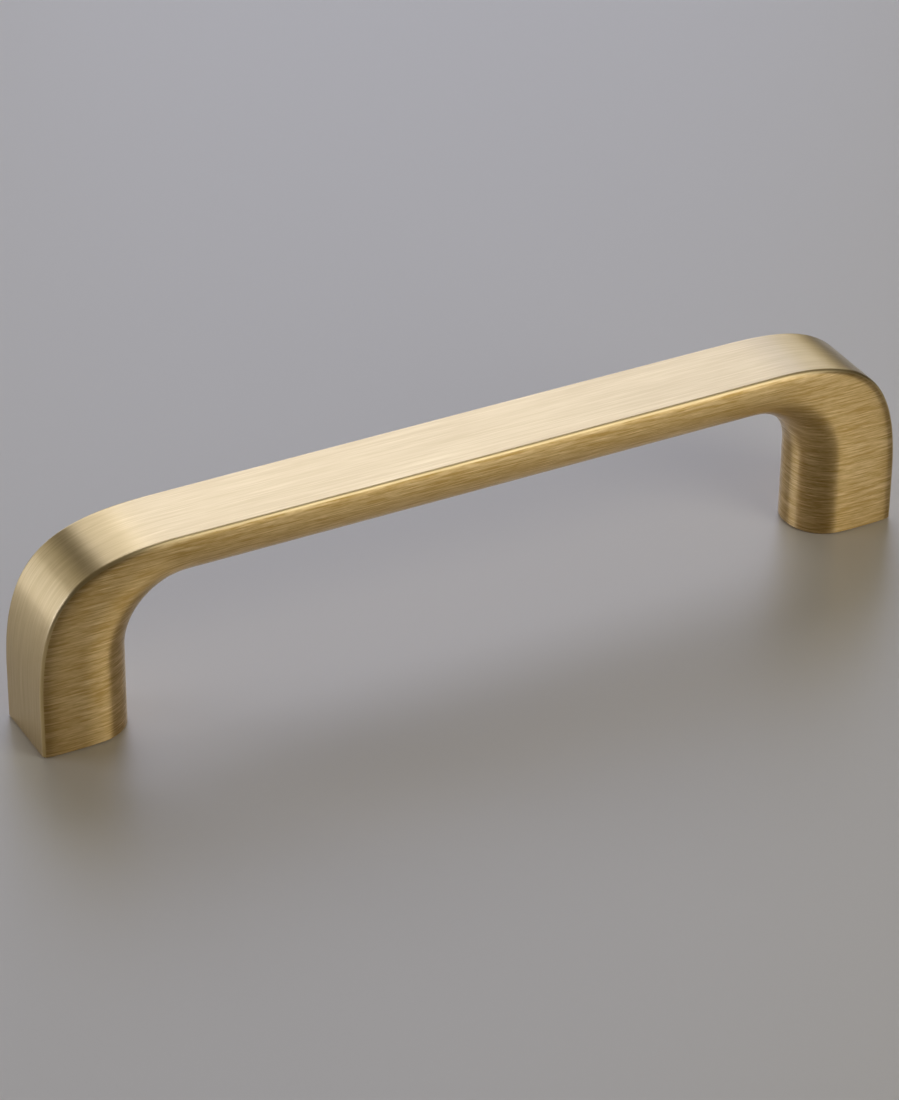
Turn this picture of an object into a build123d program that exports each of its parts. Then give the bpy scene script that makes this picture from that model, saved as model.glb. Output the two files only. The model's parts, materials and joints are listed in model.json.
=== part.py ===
"""Cabinet pull: a one-piece brass bow handle with a flat outer face and a rounded inner side.

The pull stands as it would on a cabinet front that lies flat. The origin is on that front, midway
between the two feet. X runs along the pull, Y across it, and Z away from the cabinet.
"""

import os
from math import radians, tan

from build123d import *

# Driving dimensions, in millimetres and degrees
hole_spacing = 128.0  # centre to centre of the two fixing holes
foot_depth = 15.3  # each foot, measured along the pull
width = 13.4  # across the pull
projection = 30.9  # cabinet front to the top of the grip
grip_thickness = 8.25  # top of the grip to its underside

outer_bend = 22.6  # reach of the outer bend, along the leg and along the grip
outer_bend_tangent = 0.75  # share of that reach held by each end tangent; a plain arc has 0.55
inner_bend = 9.5  # radius of the bend inside the opening

inner_round = 6.35  # radius along the two inner edges, which makes the section a D
outer_round = 0.9  # radius along the two outer edges
sole_chamfer = 0.25  # edge break around the sole of each foot

tapping_drill = 3.3  # bore for an M4 thread
drill_depth = 13.0  # from the sole to the end of the full bore
drill_point = 118.0  # angle of the drill's point
mouth_diameter = 4.2  # countersunk mouth of the bore
mouth_angle = 90.0  # angle of that countersink

largest_share = 0.97  # a bend or round takes at most this share of the wall that it lies on

# Sizes that follow from them
outer_x = (hole_spacing + foot_depth) / 2
inner_x = outer_x - foot_depth
inner_z = projection - grip_thickness


def limited(radius, *walls):
    """A bend or round, kept within the walls that it is cut from."""
    return min(radius, *(largest_share * wall for wall in walls))


def outer_edges():
    """The outer side of the legs and grip, from one sole to the other, with softened bends."""
    reach = limited(outer_bend, projection, outer_x)
    leg_top = projection - reach
    grip_end = outer_x - reach
    tangent = outer_bend_tangent * reach

    def leg(side):
        return Line((side * outer_x, 0), (side * outer_x, leg_top))

    def bend(side):
        return Bezier(
            (side * outer_x, leg_top),
            (side * outer_x, leg_top + tangent),
            (side * (grip_end + tangent), projection),
            (side * grip_end, projection),
        )

    grip = Line((-grip_end, projection), (grip_end, projection))
    return [leg(-1), bend(-1), grip, bend(1), leg(1)]


def opening_edges():
    """The inner side of the legs and grip, around the finger opening."""
    corners = [(-inner_x, 0), (-inner_x, inner_z), (inner_x, inner_z), (inner_x, 0)]
    return FilletPolyline(*corners, radius=limited(inner_bend, inner_z, inner_x)).edges()


def side_profile():
    """The pull's outline on the plane of its back face, ready to be drawn out to the front."""
    soles = [Line((side * outer_x, 0), (side * inner_x, 0)) for side in (-1, 1)]
    return Plane.XZ.offset(-width / 2) * Face(Wire([*outer_edges(), *opening_edges(), *soles]))


def borders_opening(edge):
    """True for an edge nearer to the finger opening than to the outer face."""
    middle = edge @ 0.5
    return abs(middle.X) < inner_x + foot_depth / 2 and middle.Z < inner_z + grip_thickness / 2


def side_edges(body, inner):
    """The long edges of the front and back faces: those around the opening, or the outer ones."""
    edges = body.faces().filter_by(Axis.Y).edges().filter_by(lambda edge: (edge @ 0.5).Z > 0)
    return edges.filter_by(lambda edge: borders_opening(edge) == inner)


def round_long_edges(body):
    """Eases the two outer edges, then rolls the two inner ones into a D section."""
    edge_radius = limited(outer_round, width / 2, grip_thickness)
    body = fillet(side_edges(body, inner=False), edge_radius)
    inner_radius = limited(inner_round, width / 2, grip_thickness - edge_radius)
    return fillet(side_edges(body, inner=True), inner_radius)


def fixing_bore():
    """The hole that a fixing screw goes into: countersunk mouth, bore and drill point."""
    bore = tapping_drill / 2
    mouth = mouth_diameter / 2
    mouth_depth = (mouth - bore) / tan(radians(mouth_angle / 2))
    point_depth = drill_depth + bore / tan(radians(drill_point / 2))
    section = [(0, 0), (mouth, 0), (bore, mouth_depth), (bore, drill_depth), (0, point_depth)]
    return revolve(Plane.XZ * make_face(Polyline(*section, close=True)), Axis.Z)


def make_pull():
    """The whole pull: drawn out, rounded, broken at the soles and drilled."""
    body = round_long_edges(extrude(side_profile(), width, dir=(0, -1, 0)))
    soles = body.faces().group_by(Axis.Z)[0]
    body = chamfer(soles.edges(), sole_chamfer)
    for side in (-1, 1):
        body -= Pos(side * hole_spacing / 2, 0, 0) * fixing_bore()
    return body


pull = make_pull()
os.makedirs("parts", exist_ok=True)
export_step(pull, "parts/pull.step")
print("pull", pull.bounding_box().size, "volume", round(pull.volume, 1))
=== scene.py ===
"""Looks of the cabinet pull: brushed brass on a plain pale floor, seen from the photograph's angle.

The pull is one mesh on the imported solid's own form, so that its faces carry the brushing of the real
one: along the sweep on the outer face, and level across the front, back and inner sides.
"""

import json
from math import cos, pi, radians, sin, tan

import bmesh
import bpy
from mathutils import Euler, Matrix, Vector


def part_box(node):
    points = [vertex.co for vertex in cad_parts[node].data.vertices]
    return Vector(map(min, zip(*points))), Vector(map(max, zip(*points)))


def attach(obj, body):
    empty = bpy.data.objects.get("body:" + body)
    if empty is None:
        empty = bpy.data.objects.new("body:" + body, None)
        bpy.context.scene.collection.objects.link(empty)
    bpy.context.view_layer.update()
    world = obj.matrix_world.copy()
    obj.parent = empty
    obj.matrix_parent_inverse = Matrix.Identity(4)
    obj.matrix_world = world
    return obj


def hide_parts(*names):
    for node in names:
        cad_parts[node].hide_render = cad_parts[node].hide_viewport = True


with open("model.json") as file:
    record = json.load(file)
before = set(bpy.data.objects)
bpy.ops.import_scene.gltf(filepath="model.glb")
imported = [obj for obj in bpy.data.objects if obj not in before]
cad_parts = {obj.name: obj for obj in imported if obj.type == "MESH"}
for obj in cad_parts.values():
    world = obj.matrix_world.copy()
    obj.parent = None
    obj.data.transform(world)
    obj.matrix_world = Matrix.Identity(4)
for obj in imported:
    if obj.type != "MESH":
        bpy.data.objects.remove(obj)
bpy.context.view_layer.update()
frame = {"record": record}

# Sizes of the pull in metres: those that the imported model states
MILLIMETRE = 0.001
LOW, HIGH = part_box("pull")
HOLES = next(mount["dims"] for mount in frame["record"]["mounts"] if mount["name"] == "fixing_holes")
HEIGHT = HIGH.z
WIDTH = HIGH.y - LOW.y
OUTER_X = HIGH.x
HOLE_X = HOLES["spacing_x_mm"] * MILLIMETRE / 2
INNER_X = 2 * HOLE_X - OUTER_X
BORE_RADIUS = HOLES["hole_r_mm"] * MILLIMETRE

# Sizes of the pull in metres: those of its bends, rounds and edges
GRIP_THICKNESS = 0.00825
INNER_Z = HEIGHT - GRIP_THICKNESS
OUTER_BEND = 0.0226
OUTER_BEND_TANGENT = 0.75  # share of the outer bend's reach held by each end tangent
INNER_BEND = 0.0095
INNER_ROUND = 0.00635
OUTER_ROUND = 0.0006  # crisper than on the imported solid, as the photograph shows it
SOLE_CHAMFER = 0.00025

# The front and back fall away a little towards their edges, as brushed faces do
EASE_REACH = 0.0030
EASE_RADIUS = 0.034
EDGE_REACH = 0.0010  # along the outer edges they fall away faster
EDGE_RADIUS = 0.0045

# Sizes of the threaded bores in metres
BORE_DEPTH = 0.013
BORE_POINT = radians(118)
MOUTH_RADIUS = 0.0021
THREAD_RADIUS = 0.002
THREAD_PITCH = 0.0007
THREAD_DEPTH = 0.0115
THREAD_ROOT = 0.0625  # half the width of the flat at the thread's root, as a share of the pitch
THREAD_FLANK = 0.3125  # width of a flank, as a share of the pitch

# Steps of the mesh along and around the pull
LEG_STEPS = 4
BEND_STEPS = 36
GRIP_STEPS = 16
OUTER_ROUND_STEPS = 8
SIDE_STEPS = 20
INNER_ROUND_STEPS = 18
BORE_STEPS = 48
BORE_RINGS = 186
SHARP_ANGLE = radians(30)  # edges that turn further than this aren't shaded smooth

# Material slots of the mesh
OUTER_SLOT, SIDE_SLOT, SOLE_SLOT, BORE_SLOT = range(4)

# Brushing: broad strokes with narrow ones among them, over soft clouds of tone
NOISE_DETAIL = 3.0
NOISE_ROUGHNESS = 0.6
NOISE_MEAN = 0.5
ROW_GAP = 17.3  # how far apart in the noise two neighbouring strokes are read
BROAD_SLANT = 0.015  # sideways drift of a stroke, as a share of its length
NARROW_SLANT = -0.025
NARROW_WIDTH = 0.6  # share of a broad stroke's width
NARROW_LENGTH = 0.7  # share of a broad stroke's length
CLOUD_WIDTH = 4  # in widths of a broad stroke
TONE_WEIGHTS = (0.5, 0.35, 0.15)  # of broad strokes, narrow strokes and clouds
RIDGE_WEIGHTS = (0.6, 0.4)  # of broad and narrow strokes
GLOSS_SPREAD = 0.03  # how much rougher dark strokes are than the mean, and bright ones smoother
COAT_WEIGHT = 0.8
COAT_ROUGHNESS = 0.2

# Brass: the colours of dark and of bright strokes. The outer face's pair is painted highlight: the sides'
# brass painted paler, as the top looks where it mirrors the bright lamps behind
PALE_PAINTED_HIGHLIGHT = ((0.77, 0.58, 0.27), (0.89, 0.69, 0.345))
DEEP = ((0.57, 0.355, 0.095), (0.93, 0.69, 0.34))

# Directions across the strokes, in which their gloss spreads
ACROSS_OUTER = (0, 1, 0)
ACROSS_SIDE = (0, 0.02, 1)  # leans a little, because below the grip the face itself points down

# Floor
FLOOR_REACH = 3.0
FLOOR_COLOUR = (0.66, 0.615, 0.50, 1)
FLOOR_ROUGHNESS = 0.4
FLOOR_SPECULAR = 1.0

# Light: tints of the lamps, and the soft light from all round
WHITE = (1, 1, 1)
MILD = (0.97, 1.0, 1.14)
COOL = (0.93, 1.0, 1.32)
AMBIENT_COLOUR = (1.0, 0.88, 0.70, 1)
AMBIENT_HORIZON = 0.04
AMBIENT_OVERHEAD = 0.10

# Camera, in metres and degrees: it stands to the front left and looks down
VIEW_AZIMUTH = 28.253
VIEW_ELEVATION = 32.160
VIEW_ROLL = 0.553
VIEW_DISTANCE = 0.6440
VIEW_AIM = Vector((-0.002907, -0.000215, 0.012050))
VIEW_CLIP = 0.01
LENS_MM = 141.85


def steps(start, end, count):
    """Evenly spaced values from start up to, but not including, end."""
    return [start + (end - start) * k / count for k in range(count)]


def clamp(value):
    """A value kept between 0 and 1."""
    return min(max(value, 0), 1)


def bezier(corners, t):
    """A point of a cubic curve in the XZ plane, with the normal on its left."""
    a, b, c, d = corners
    point = (1 - t) ** 3 * a + 3 * (1 - t) ** 2 * t * b + 3 * (1 - t) * t**2 * c + t**3 * d
    way = ((1 - t) ** 2 * (b - a) + 2 * (1 - t) * t * (c - b) + t**2 * (d - c)).normalized()
    return point, Vector((-way.y, way.x))


def mirrored(half):
    """A line from the left sole to the middle of the grip, carried on to the right sole."""
    return half + [(Vector((-p.x, p.y)), Vector((-n.x, n.y))) for p, n in reversed(half[:-1])]


def outer_line():
    """Points and normals of the outer face in the XZ plane, from the left sole to the right one."""
    leg_top = HEIGHT - OUTER_BEND
    grip_end = OUTER_X - OUTER_BEND
    tangent = OUTER_BEND * OUTER_BEND_TANGENT
    corners = [
        Vector((-OUTER_X, leg_top)),
        Vector((-OUTER_X, leg_top + tangent)),
        Vector((-grip_end - tangent, HEIGHT)),
        Vector((-grip_end, HEIGHT)),
    ]
    leg = [(Vector((-OUTER_X, z)), Vector((-1, 0))) for z in steps(SOLE_CHAMFER, leg_top, LEG_STEPS)]
    bend = [bezier(corners, t) for t in steps(0, 1, BEND_STEPS)]
    grip = [(Vector((x, HEIGHT)), Vector((0, 1))) for x in [*steps(-grip_end, 0, GRIP_STEPS), 0]]
    return mirrored(leg + bend + grip)


def inner_line():
    """Points and normals of the finger opening in the XZ plane, station by station as outside."""
    leg_top = INNER_Z - INNER_BEND
    grip_end = INNER_X - INNER_BEND
    centre = Vector((-grip_end, leg_top))
    spokes = [Vector((cos(angle), sin(angle))) for angle in steps(pi, pi / 2, BEND_STEPS)]
    leg = [(Vector((-INNER_X, z)), Vector((1, 0))) for z in steps(SOLE_CHAMFER, leg_top, LEG_STEPS)]
    bend = [(centre + spoke * INNER_BEND, -spoke) for spoke in spokes]
    grip = [(Vector((x, INNER_Z)), Vector((0, -1))) for x in [*steps(-grip_end, 0, GRIP_STEPS), 0]]
    return mirrored(leg + bend + grip)


def fall(distance, reach, radius):
    """How far a face lies back at a distance from the edge that it falls away to."""
    return max(reach - distance, 0) ** 2 / (2 * radius)


def half_section(outer, inner, side, inset):
    """Points from the outer face over the front (side -1) or back (side 1) to the inner face."""
    (outer_point, outer_normal), (inner_point, inner_normal) = outer, inner
    outer_round, inner_round = OUTER_ROUND - inset, INNER_ROUND - inset

    def outer_place(angle):
        return outer_point - outer_normal * (inset + outer_round * (1 - cos(angle)))

    def inner_place(angle):
        return inner_point - inner_normal * (inset + inner_round * (1 - cos(angle)))

    flat = (inner_place(pi / 2) - outer_place(pi / 2)).length
    outer_reach = min(EASE_REACH, flat)
    inner_reach = min(EASE_REACH, flat - outer_reach)
    outer_turn = pi / 2 - outer_reach / EASE_RADIUS - EDGE_REACH / EDGE_RADIUS
    inner_turn = pi / 2 - inner_reach / EASE_RADIUS
    start, end = outer_place(outer_turn), inner_place(inner_turn)

    def outer_fall(distance):
        return fall(distance, outer_reach, EASE_RADIUS) + fall(distance, EDGE_REACH, EDGE_RADIUS)

    def inner_fall(distance):
        return fall(distance, inner_reach, EASE_RADIUS)

    points = []
    for angle in steps(0, outer_turn, OUTER_ROUND_STEPS):
        depth = outer_fall(0) + outer_round * (sin(outer_turn) - sin(angle))
        points.append((outer_place(angle), depth))
    for angle in steps(0, pi, SIDE_STEPS):
        place = start.lerp(end, (1 - cos(angle)) / 2)
        depth = outer_fall((place - start).length) + inner_fall((place - end).length)
        points.append((place, depth))
    for angle in [*steps(inner_turn, 0, INNER_ROUND_STEPS), 0]:
        depth = inner_fall(0) + inner_round * (sin(inner_turn) - sin(angle))
        points.append((inner_place(angle), depth))
    return [(place.x, side * (WIDTH / 2 - inset - depth), place.y) for place, depth in points]


def section(outer, inner, inset=0.0):
    """Points around the D section at one station, shrunk by inset."""
    return half_section(outer, inner, -1, inset) + half_section(outer, inner, 1, inset)[::-1]


def section_slots():
    """The material slot of each stretch of a section, in the order of its points."""
    half = [OUTER_SLOT] * OUTER_ROUND_STEPS + [SIDE_SLOT] * (SIDE_STEPS + INNER_ROUND_STEPS)
    return half + [SIDE_SLOT] + half[::-1] + [OUTER_SLOT]


def join_rings(mesh, ring_a, ring_b, slots):
    """Quads between two closed rings of as many points."""
    count = len(ring_a)
    for k in range(count):
        after = (k + 1) % count
        face = mesh.faces.new((ring_a[k], ring_a[after], ring_b[after], ring_b[k]))
        face.material_index = slots[k]


def bore_radius(angle, depth):
    """The bore's wall with its countersunk mouth and thread, which runs out before the bore ends."""
    turn = (depth / THREAD_PITCH - angle / (2 * pi)) % 1
    flank = clamp((abs(turn - 0.5) - THREAD_ROOT) / THREAD_FLANK)
    run_out = clamp((THREAD_DEPTH - depth) / THREAD_PITCH)
    thread = BORE_RADIUS + (THREAD_RADIUS - BORE_RADIUS) * (1 - flank) * run_out
    return max(thread, MOUTH_RADIUS - depth)


def add_bore(mesh, x):
    """A threaded bore with a drill point, up from the plane of the soles; gives back its mouth."""
    angles = steps(0, 2 * pi, BORE_STEPS)
    rings = []
    for depth in [*steps(0, BORE_DEPTH, BORE_RINGS), BORE_DEPTH]:
        radii = [bore_radius(angle, depth) for angle in angles]
        places = [(x + r * cos(a), r * sin(a), depth) for a, r in zip(angles, radii)]
        rings.append([mesh.verts.new(place) for place in places])
    for low, high in zip(rings, rings[1:]):
        join_rings(mesh, low, high, [BORE_SLOT] * BORE_STEPS)
    tip = mesh.verts.new((x, 0, BORE_DEPTH + BORE_RADIUS / tan(BORE_POINT / 2)))
    for a, b in zip(rings[-1], rings[-1][1:] + rings[-1][:1]):
        mesh.faces.new((a, b, tip)).material_index = BORE_SLOT
    return rings[0]


def add_sole(mesh, rim, mouth):
    """A flat sole between a rim of points and the mouth of a bore."""
    pairs = [(ring[k - 1], ring[k]) for ring in (rim, mouth) for k in range(len(ring))]
    edges = [mesh.edges.get(pair) or mesh.edges.new(pair) for pair in pairs]
    filled = bmesh.ops.triangle_fill(mesh, use_beauty=True, edges=edges)
    for face in filled["geom"]:
        if isinstance(face, bmesh.types.BMFace):
            face.material_index = SOLE_SLOT


def on_floor(station):
    """A leg's lowest station, brought down to the plane of the soles."""
    point, normal = station
    return Vector((point.x, 0)), normal


def pull_mesh():
    """The whole pull as one closed mesh, swept from the left sole to the right one."""
    mesh = bmesh.new()
    outer, inner = outer_line(), inner_line()
    slots = section_slots()
    rings = [[mesh.verts.new(place) for place in section(*pair)] for pair in zip(outer, inner)]
    for ring_a, ring_b in zip(rings, rings[1:]):
        join_rings(mesh, ring_a, ring_b, slots)
    for end, x in ((0, -HOLE_X), (-1, HOLE_X)):
        rim = section(on_floor(outer[end]), on_floor(inner[end]), SOLE_CHAMFER)
        rim = [mesh.verts.new(place) for place in rim]
        join_rings(mesh, rings[end], rim, [SOLE_SLOT] * len(rim))
        add_sole(mesh, rim, add_bore(mesh, x))
    bmesh.ops.recalc_face_normals(mesh, faces=mesh.faces)
    data = bpy.data.meshes.new("brushed_pull")
    mesh.to_mesh(data)
    mesh.free()
    data.shade_smooth()
    data.set_sharp_from_angle(angle=SHARP_ANGLE)
    return data


def feed(tree, node, inputs):
    """Sets a node's inputs to values, or links them to the sockets that feed them."""
    for key, value in inputs.items():
        if isinstance(value, bpy.types.NodeSocket):
            tree.links.new(value, node.inputs[key])
        else:
            node.inputs[key].default_value = value


def add_node(tree, kind, inputs=None, **settings):
    """A shader node with its settings, and inputs that are values or sockets."""
    node = tree.nodes.new(kind)
    for name, value in settings.items():
        setattr(node, name, value)
    feed(tree, node, inputs or {})
    return node


def compute(tree, operation, *values):
    """The result of one sum on numbers or sockets."""
    return add_node(tree, "ShaderNodeMath", dict(enumerate(values)), operation=operation).outputs[0]


def map_range(tree, value, low, high, to_low, to_high):
    """A value brought from one range to another, and kept inside it."""
    inputs = {"Value": value, "From Min": low, "From Max": high, "To Min": to_low, "To Max": to_high}
    return add_node(tree, "ShaderNodeMapRange", inputs).outputs["Result"]


def weighted_sum(tree, sockets, weights):
    """The sum of sockets, each times its weight."""
    total = 0.0
    for socket, weight in zip(sockets, weights):
        total = compute(tree, "MULTIPLY_ADD", socket, weight, total)
    return total


def position(tree):
    """The x, y and z of a point of the pull, in metres."""
    place = add_node(tree, "ShaderNodeTexCoord").outputs["Object"]
    return add_node(tree, "ShaderNodeSeparateXYZ", {"Vector": place}).outputs


def outer_lay(tree):
    """Distances across and along brushing that follows the sweep of the outer face."""
    x, y, z = position(tree)
    down = compute(tree, "SUBTRACT", HEIGHT, z)
    return y, compute(tree, "MULTIPLY_ADD", compute(tree, "SIGN", x), down, x)


def side_lay(tree):
    """Distances across and along level brushing that wraps from the front round the inner side."""
    x, y, z = position(tree)
    inward = compute(tree, "SUBTRACT", compute(tree, "ABSOLUTE", y), WIDTH / 2)
    grip = map_range(tree, compute(tree, "ABSOLUTE", x), INNER_X - INNER_BEND, INNER_X, 1, 0)
    leg = compute(tree, "SUBTRACT", 1, grip)
    across = compute(tree, "MULTIPLY_ADD", grip, inward, z)
    signed_leg = compute(tree, "MULTIPLY", compute(tree, "SIGN", x), leg)
    return across, compute(tree, "ADD", x, compute(tree, "MULTIPLY", signed_leg, inward))


def sole_lay(tree):
    """Distances across and along the grinding of a sole."""
    x, y, _ = position(tree)
    return y, x


def noise(tree, across, along):
    """Noise over two distances, given in multiples of its largest grain."""
    place = add_node(tree, "ShaderNodeCombineXYZ", {0: across, 1: along}).outputs[0]
    inputs = {"Vector": place, "Scale": 1.0, "Detail": NOISE_DETAIL, "Roughness": NOISE_ROUGHNESS}
    return add_node(tree, "ShaderNodeTexNoise", inputs, noise_dimensions="2D").outputs["Fac"]


def strokes(tree, across, along, width, length, slant):
    """Straight strokes side by side: the tone of each, and the height of its rounded ridge."""
    rows = compute(tree, "DIVIDE", compute(tree, "MULTIPLY_ADD", along, slant, across), width)
    row = compute(tree, "MULTIPLY", compute(tree, "FLOOR", rows), ROW_GAP)
    tone = noise(tree, row, compute(tree, "DIVIDE", along, length))
    return tone, compute(tree, "MULTIPLY", tone, compute(tree, "PINGPONG", rows, 0.5))


def brushing(tree, across, along, width, length):
    """Tone and height of brushing whose broad strokes have this width and length."""
    cloud_across = compute(tree, "DIVIDE", across, width * CLOUD_WIDTH)
    cloud = noise(tree, cloud_across, compute(tree, "DIVIDE", along, length))
    broad, broad_ridge = strokes(tree, across, along, width, length, BROAD_SLANT)
    narrow_size = (width * NARROW_WIDTH, length * NARROW_LENGTH)
    narrow, narrow_ridge = strokes(tree, across, along, *narrow_size, NARROW_SLANT)
    tone = weighted_sum(tree, (broad, narrow, cloud), TONE_WEIGHTS)
    return tone, weighted_sum(tree, (broad_ridge, narrow_ridge), RIDGE_WEIGHTS)


def brushed_brass(name, lay, tangent, tones, *, width, length, contrast, relief, roughness, anisotropy):
    """Lacquered brass with strokes of a lay; the tangent lies across them, where gloss spreads."""
    material = bpy.data.materials.new(name)
    material.use_nodes = True
    tree = material.node_tree
    tone, height = brushing(tree, *lay(tree), width, length)
    share = map_range(tree, tone, NOISE_MEAN - contrast / 2, NOISE_MEAN + contrast, 0, 1)
    dark, bright = tones
    mixed = {"Factor": share, "A": (*dark, 1), "B": (*bright, 1)}
    bumped = {"Strength": 1.0, "Distance": relief, "Height": height}
    inputs = {
        "Base Color": add_node(tree, "ShaderNodeMix", mixed, data_type="RGBA").outputs["Result"],
        "Metallic": 1.0,
        "Roughness": map_range(tree, share, 0, 1, roughness + GLOSS_SPREAD, roughness - GLOSS_SPREAD),
        "Anisotropic": anisotropy,
        "Tangent": add_node(tree, "ShaderNodeCombineXYZ", dict(enumerate(tangent))).outputs[0],
        "Normal": add_node(tree, "ShaderNodeBump", bumped).outputs[0],
        "Coat Weight": COAT_WEIGHT,
        "Coat Roughness": COAT_ROUGHNESS,
    }
    feed(tree, tree.nodes["Principled BSDF"], inputs)
    return material


def brass_finishes_and_painted_highlight():
    """The brass of the outer face, sides, soles and bores, in the order of their slots; the outer face's
    brass is painted paler as highlight.
    """
    # painted highlight: the outer face's brass is a paler copy of the sides' brass, not a different
    # finish
    outer = brushed_brass(
        "outer_brass_painted_highlight", outer_lay, ACROSS_OUTER, PALE_PAINTED_HIGHLIGHT,
        width=0.00022, length=0.020, contrast=0.19, relief=1e-5, roughness=0.35, anisotropy=0.80,
    )
    side = brushed_brass(
        "side_brass", side_lay, ACROSS_SIDE, DEEP,
        width=0.00021, length=0.0075, contrast=0.17, relief=1.2e-5, roughness=0.36, anisotropy=0.95,
    )
    sole = brushed_brass(
        "sole_brass", sole_lay, ACROSS_OUTER, DEEP,
        width=0.0003, length=0.005, contrast=0.15, relief=2e-5, roughness=0.36, anisotropy=0.80,
    )
    bore = brushed_brass(
        "bore_brass", side_lay, ACROSS_SIDE, DEEP,
        width=0.0003, length=0.005, contrast=0.2, relief=1e-5, roughness=0.36, anisotropy=0.80,
    )
    return outer, side, sole, bore


def add_object(name, data):
    """An object of the scene at the origin."""
    made = bpy.data.objects.new(name, data)
    bpy.context.scene.collection.objects.link(made)
    return made


def add_pull():
    """The pull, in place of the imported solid."""
    data = pull_mesh()
    for finish in brass_finishes_and_painted_highlight():
        data.materials.append(finish)
    pull = add_object("brushed_pull", data)
    pull.modifiers.new("even_normals", "WEIGHTED_NORMAL").keep_sharp = True
    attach(pull, "root")
    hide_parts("pull")


def add_floor():
    """A plain pale floor with a satin face."""
    low, high = -FLOOR_REACH, FLOOR_REACH
    mesh = bpy.data.meshes.new("floor")
    mesh.from_pydata([(low, low, 0), (high, low, 0), (high, high, 0), (low, high, 0)], [], [(0, 1, 2, 3)])
    material = bpy.data.materials.new("floor")
    material.use_nodes = True
    tree = material.node_tree
    inputs = {
        "Base Color": FLOOR_COLOUR,
        "Roughness": FLOOR_ROUGHNESS,
        "Specular IOR Level": FLOOR_SPECULAR,
    }
    feed(tree, tree.nodes["Principled BSDF"], inputs)
    mesh.materials.append(material)
    add_object("floor", mesh)


def facing(azimuth, elevation):
    """The turn of what looks at the pull; azimuth 0 is in front of it and 90 to its left."""
    return Euler((pi / 2 - radians(elevation), 0, -radians(azimuth))).to_matrix()


def add_softbox(name, azimuth, elevation, distance, size, radiance, tint):
    """A soft lamp aimed at the pull."""
    data = bpy.data.lights.new(name, "AREA")
    data.shape = "RECTANGLE"
    data.size, data.size_y = size
    data.energy = radiance * pi * size[0] * size[1]
    data.color = tint
    turn = facing(azimuth, elevation)
    add_object(name, data).matrix_world = Matrix.LocRotScale(turn.col[2] * distance, turn, None)


def add_lamps():
    """Two tall panels behind the pull, small ones to their right and left, and one in front."""
    add_softbox("key", 207.4, 33.6, distance=1.0, size=(0.43, 1.04), radiance=1.4, tint=COOL)
    add_softbox("key_left", 182.5, 33.6, distance=1.0, size=(0.33, 1.04), radiance=1.07, tint=MILD)
    add_softbox("key_right", 230, 21, distance=1.0, size=(0.34, 0.28), radiance=1.22, tint=WHITE)
    add_softbox("left", 117, 16.6, distance=0.5, size=(0.26, 0.27), radiance=1.98, tint=COOL)
    add_softbox("left_upper", 157.7, 18.7, distance=1.0, size=(0.32, 0.32), radiance=1.2, tint=WHITE)
    add_softbox("front", -30, 30, distance=0.45, size=(0.23, 0.40), radiance=1.75, tint=WHITE)


def add_world():
    """Soft light from all round, from dim at the horizon to brighter overhead."""
    world = bpy.data.worlds.new("world")
    world.use_nodes = True
    tree = world.node_tree
    way = add_node(tree, "ShaderNodeTexCoord").outputs["Generated"]
    height = add_node(tree, "ShaderNodeSeparateXYZ", {"Vector": way}).outputs["Z"]
    level = map_range(tree, height, 0, 1, AMBIENT_HORIZON, AMBIENT_OVERHEAD)
    feed(tree, tree.nodes["Background"], {"Color": AMBIENT_COLOUR, "Strength": level})
    bpy.context.scene.world = world


def add_camera():
    """The photograph's camera, which aims at a point near the middle of the pull."""
    turn = facing(VIEW_AZIMUTH, VIEW_ELEVATION) @ Matrix.Rotation(radians(VIEW_ROLL), 3, "Z")
    data = bpy.data.cameras.new("camera")
    data.lens = LENS_MM
    data.clip_start = VIEW_CLIP
    camera = add_object("camera", data)
    camera.matrix_world = Matrix.LocRotScale(VIEW_AIM + turn.col[2] * VIEW_DISTANCE, turn, None)
    bpy.context.scene.camera = camera


add_camera()
add_floor()
add_pull()
add_lamps()
add_world()
bpy.context.scene.view_settings.view_transform = "Standard"
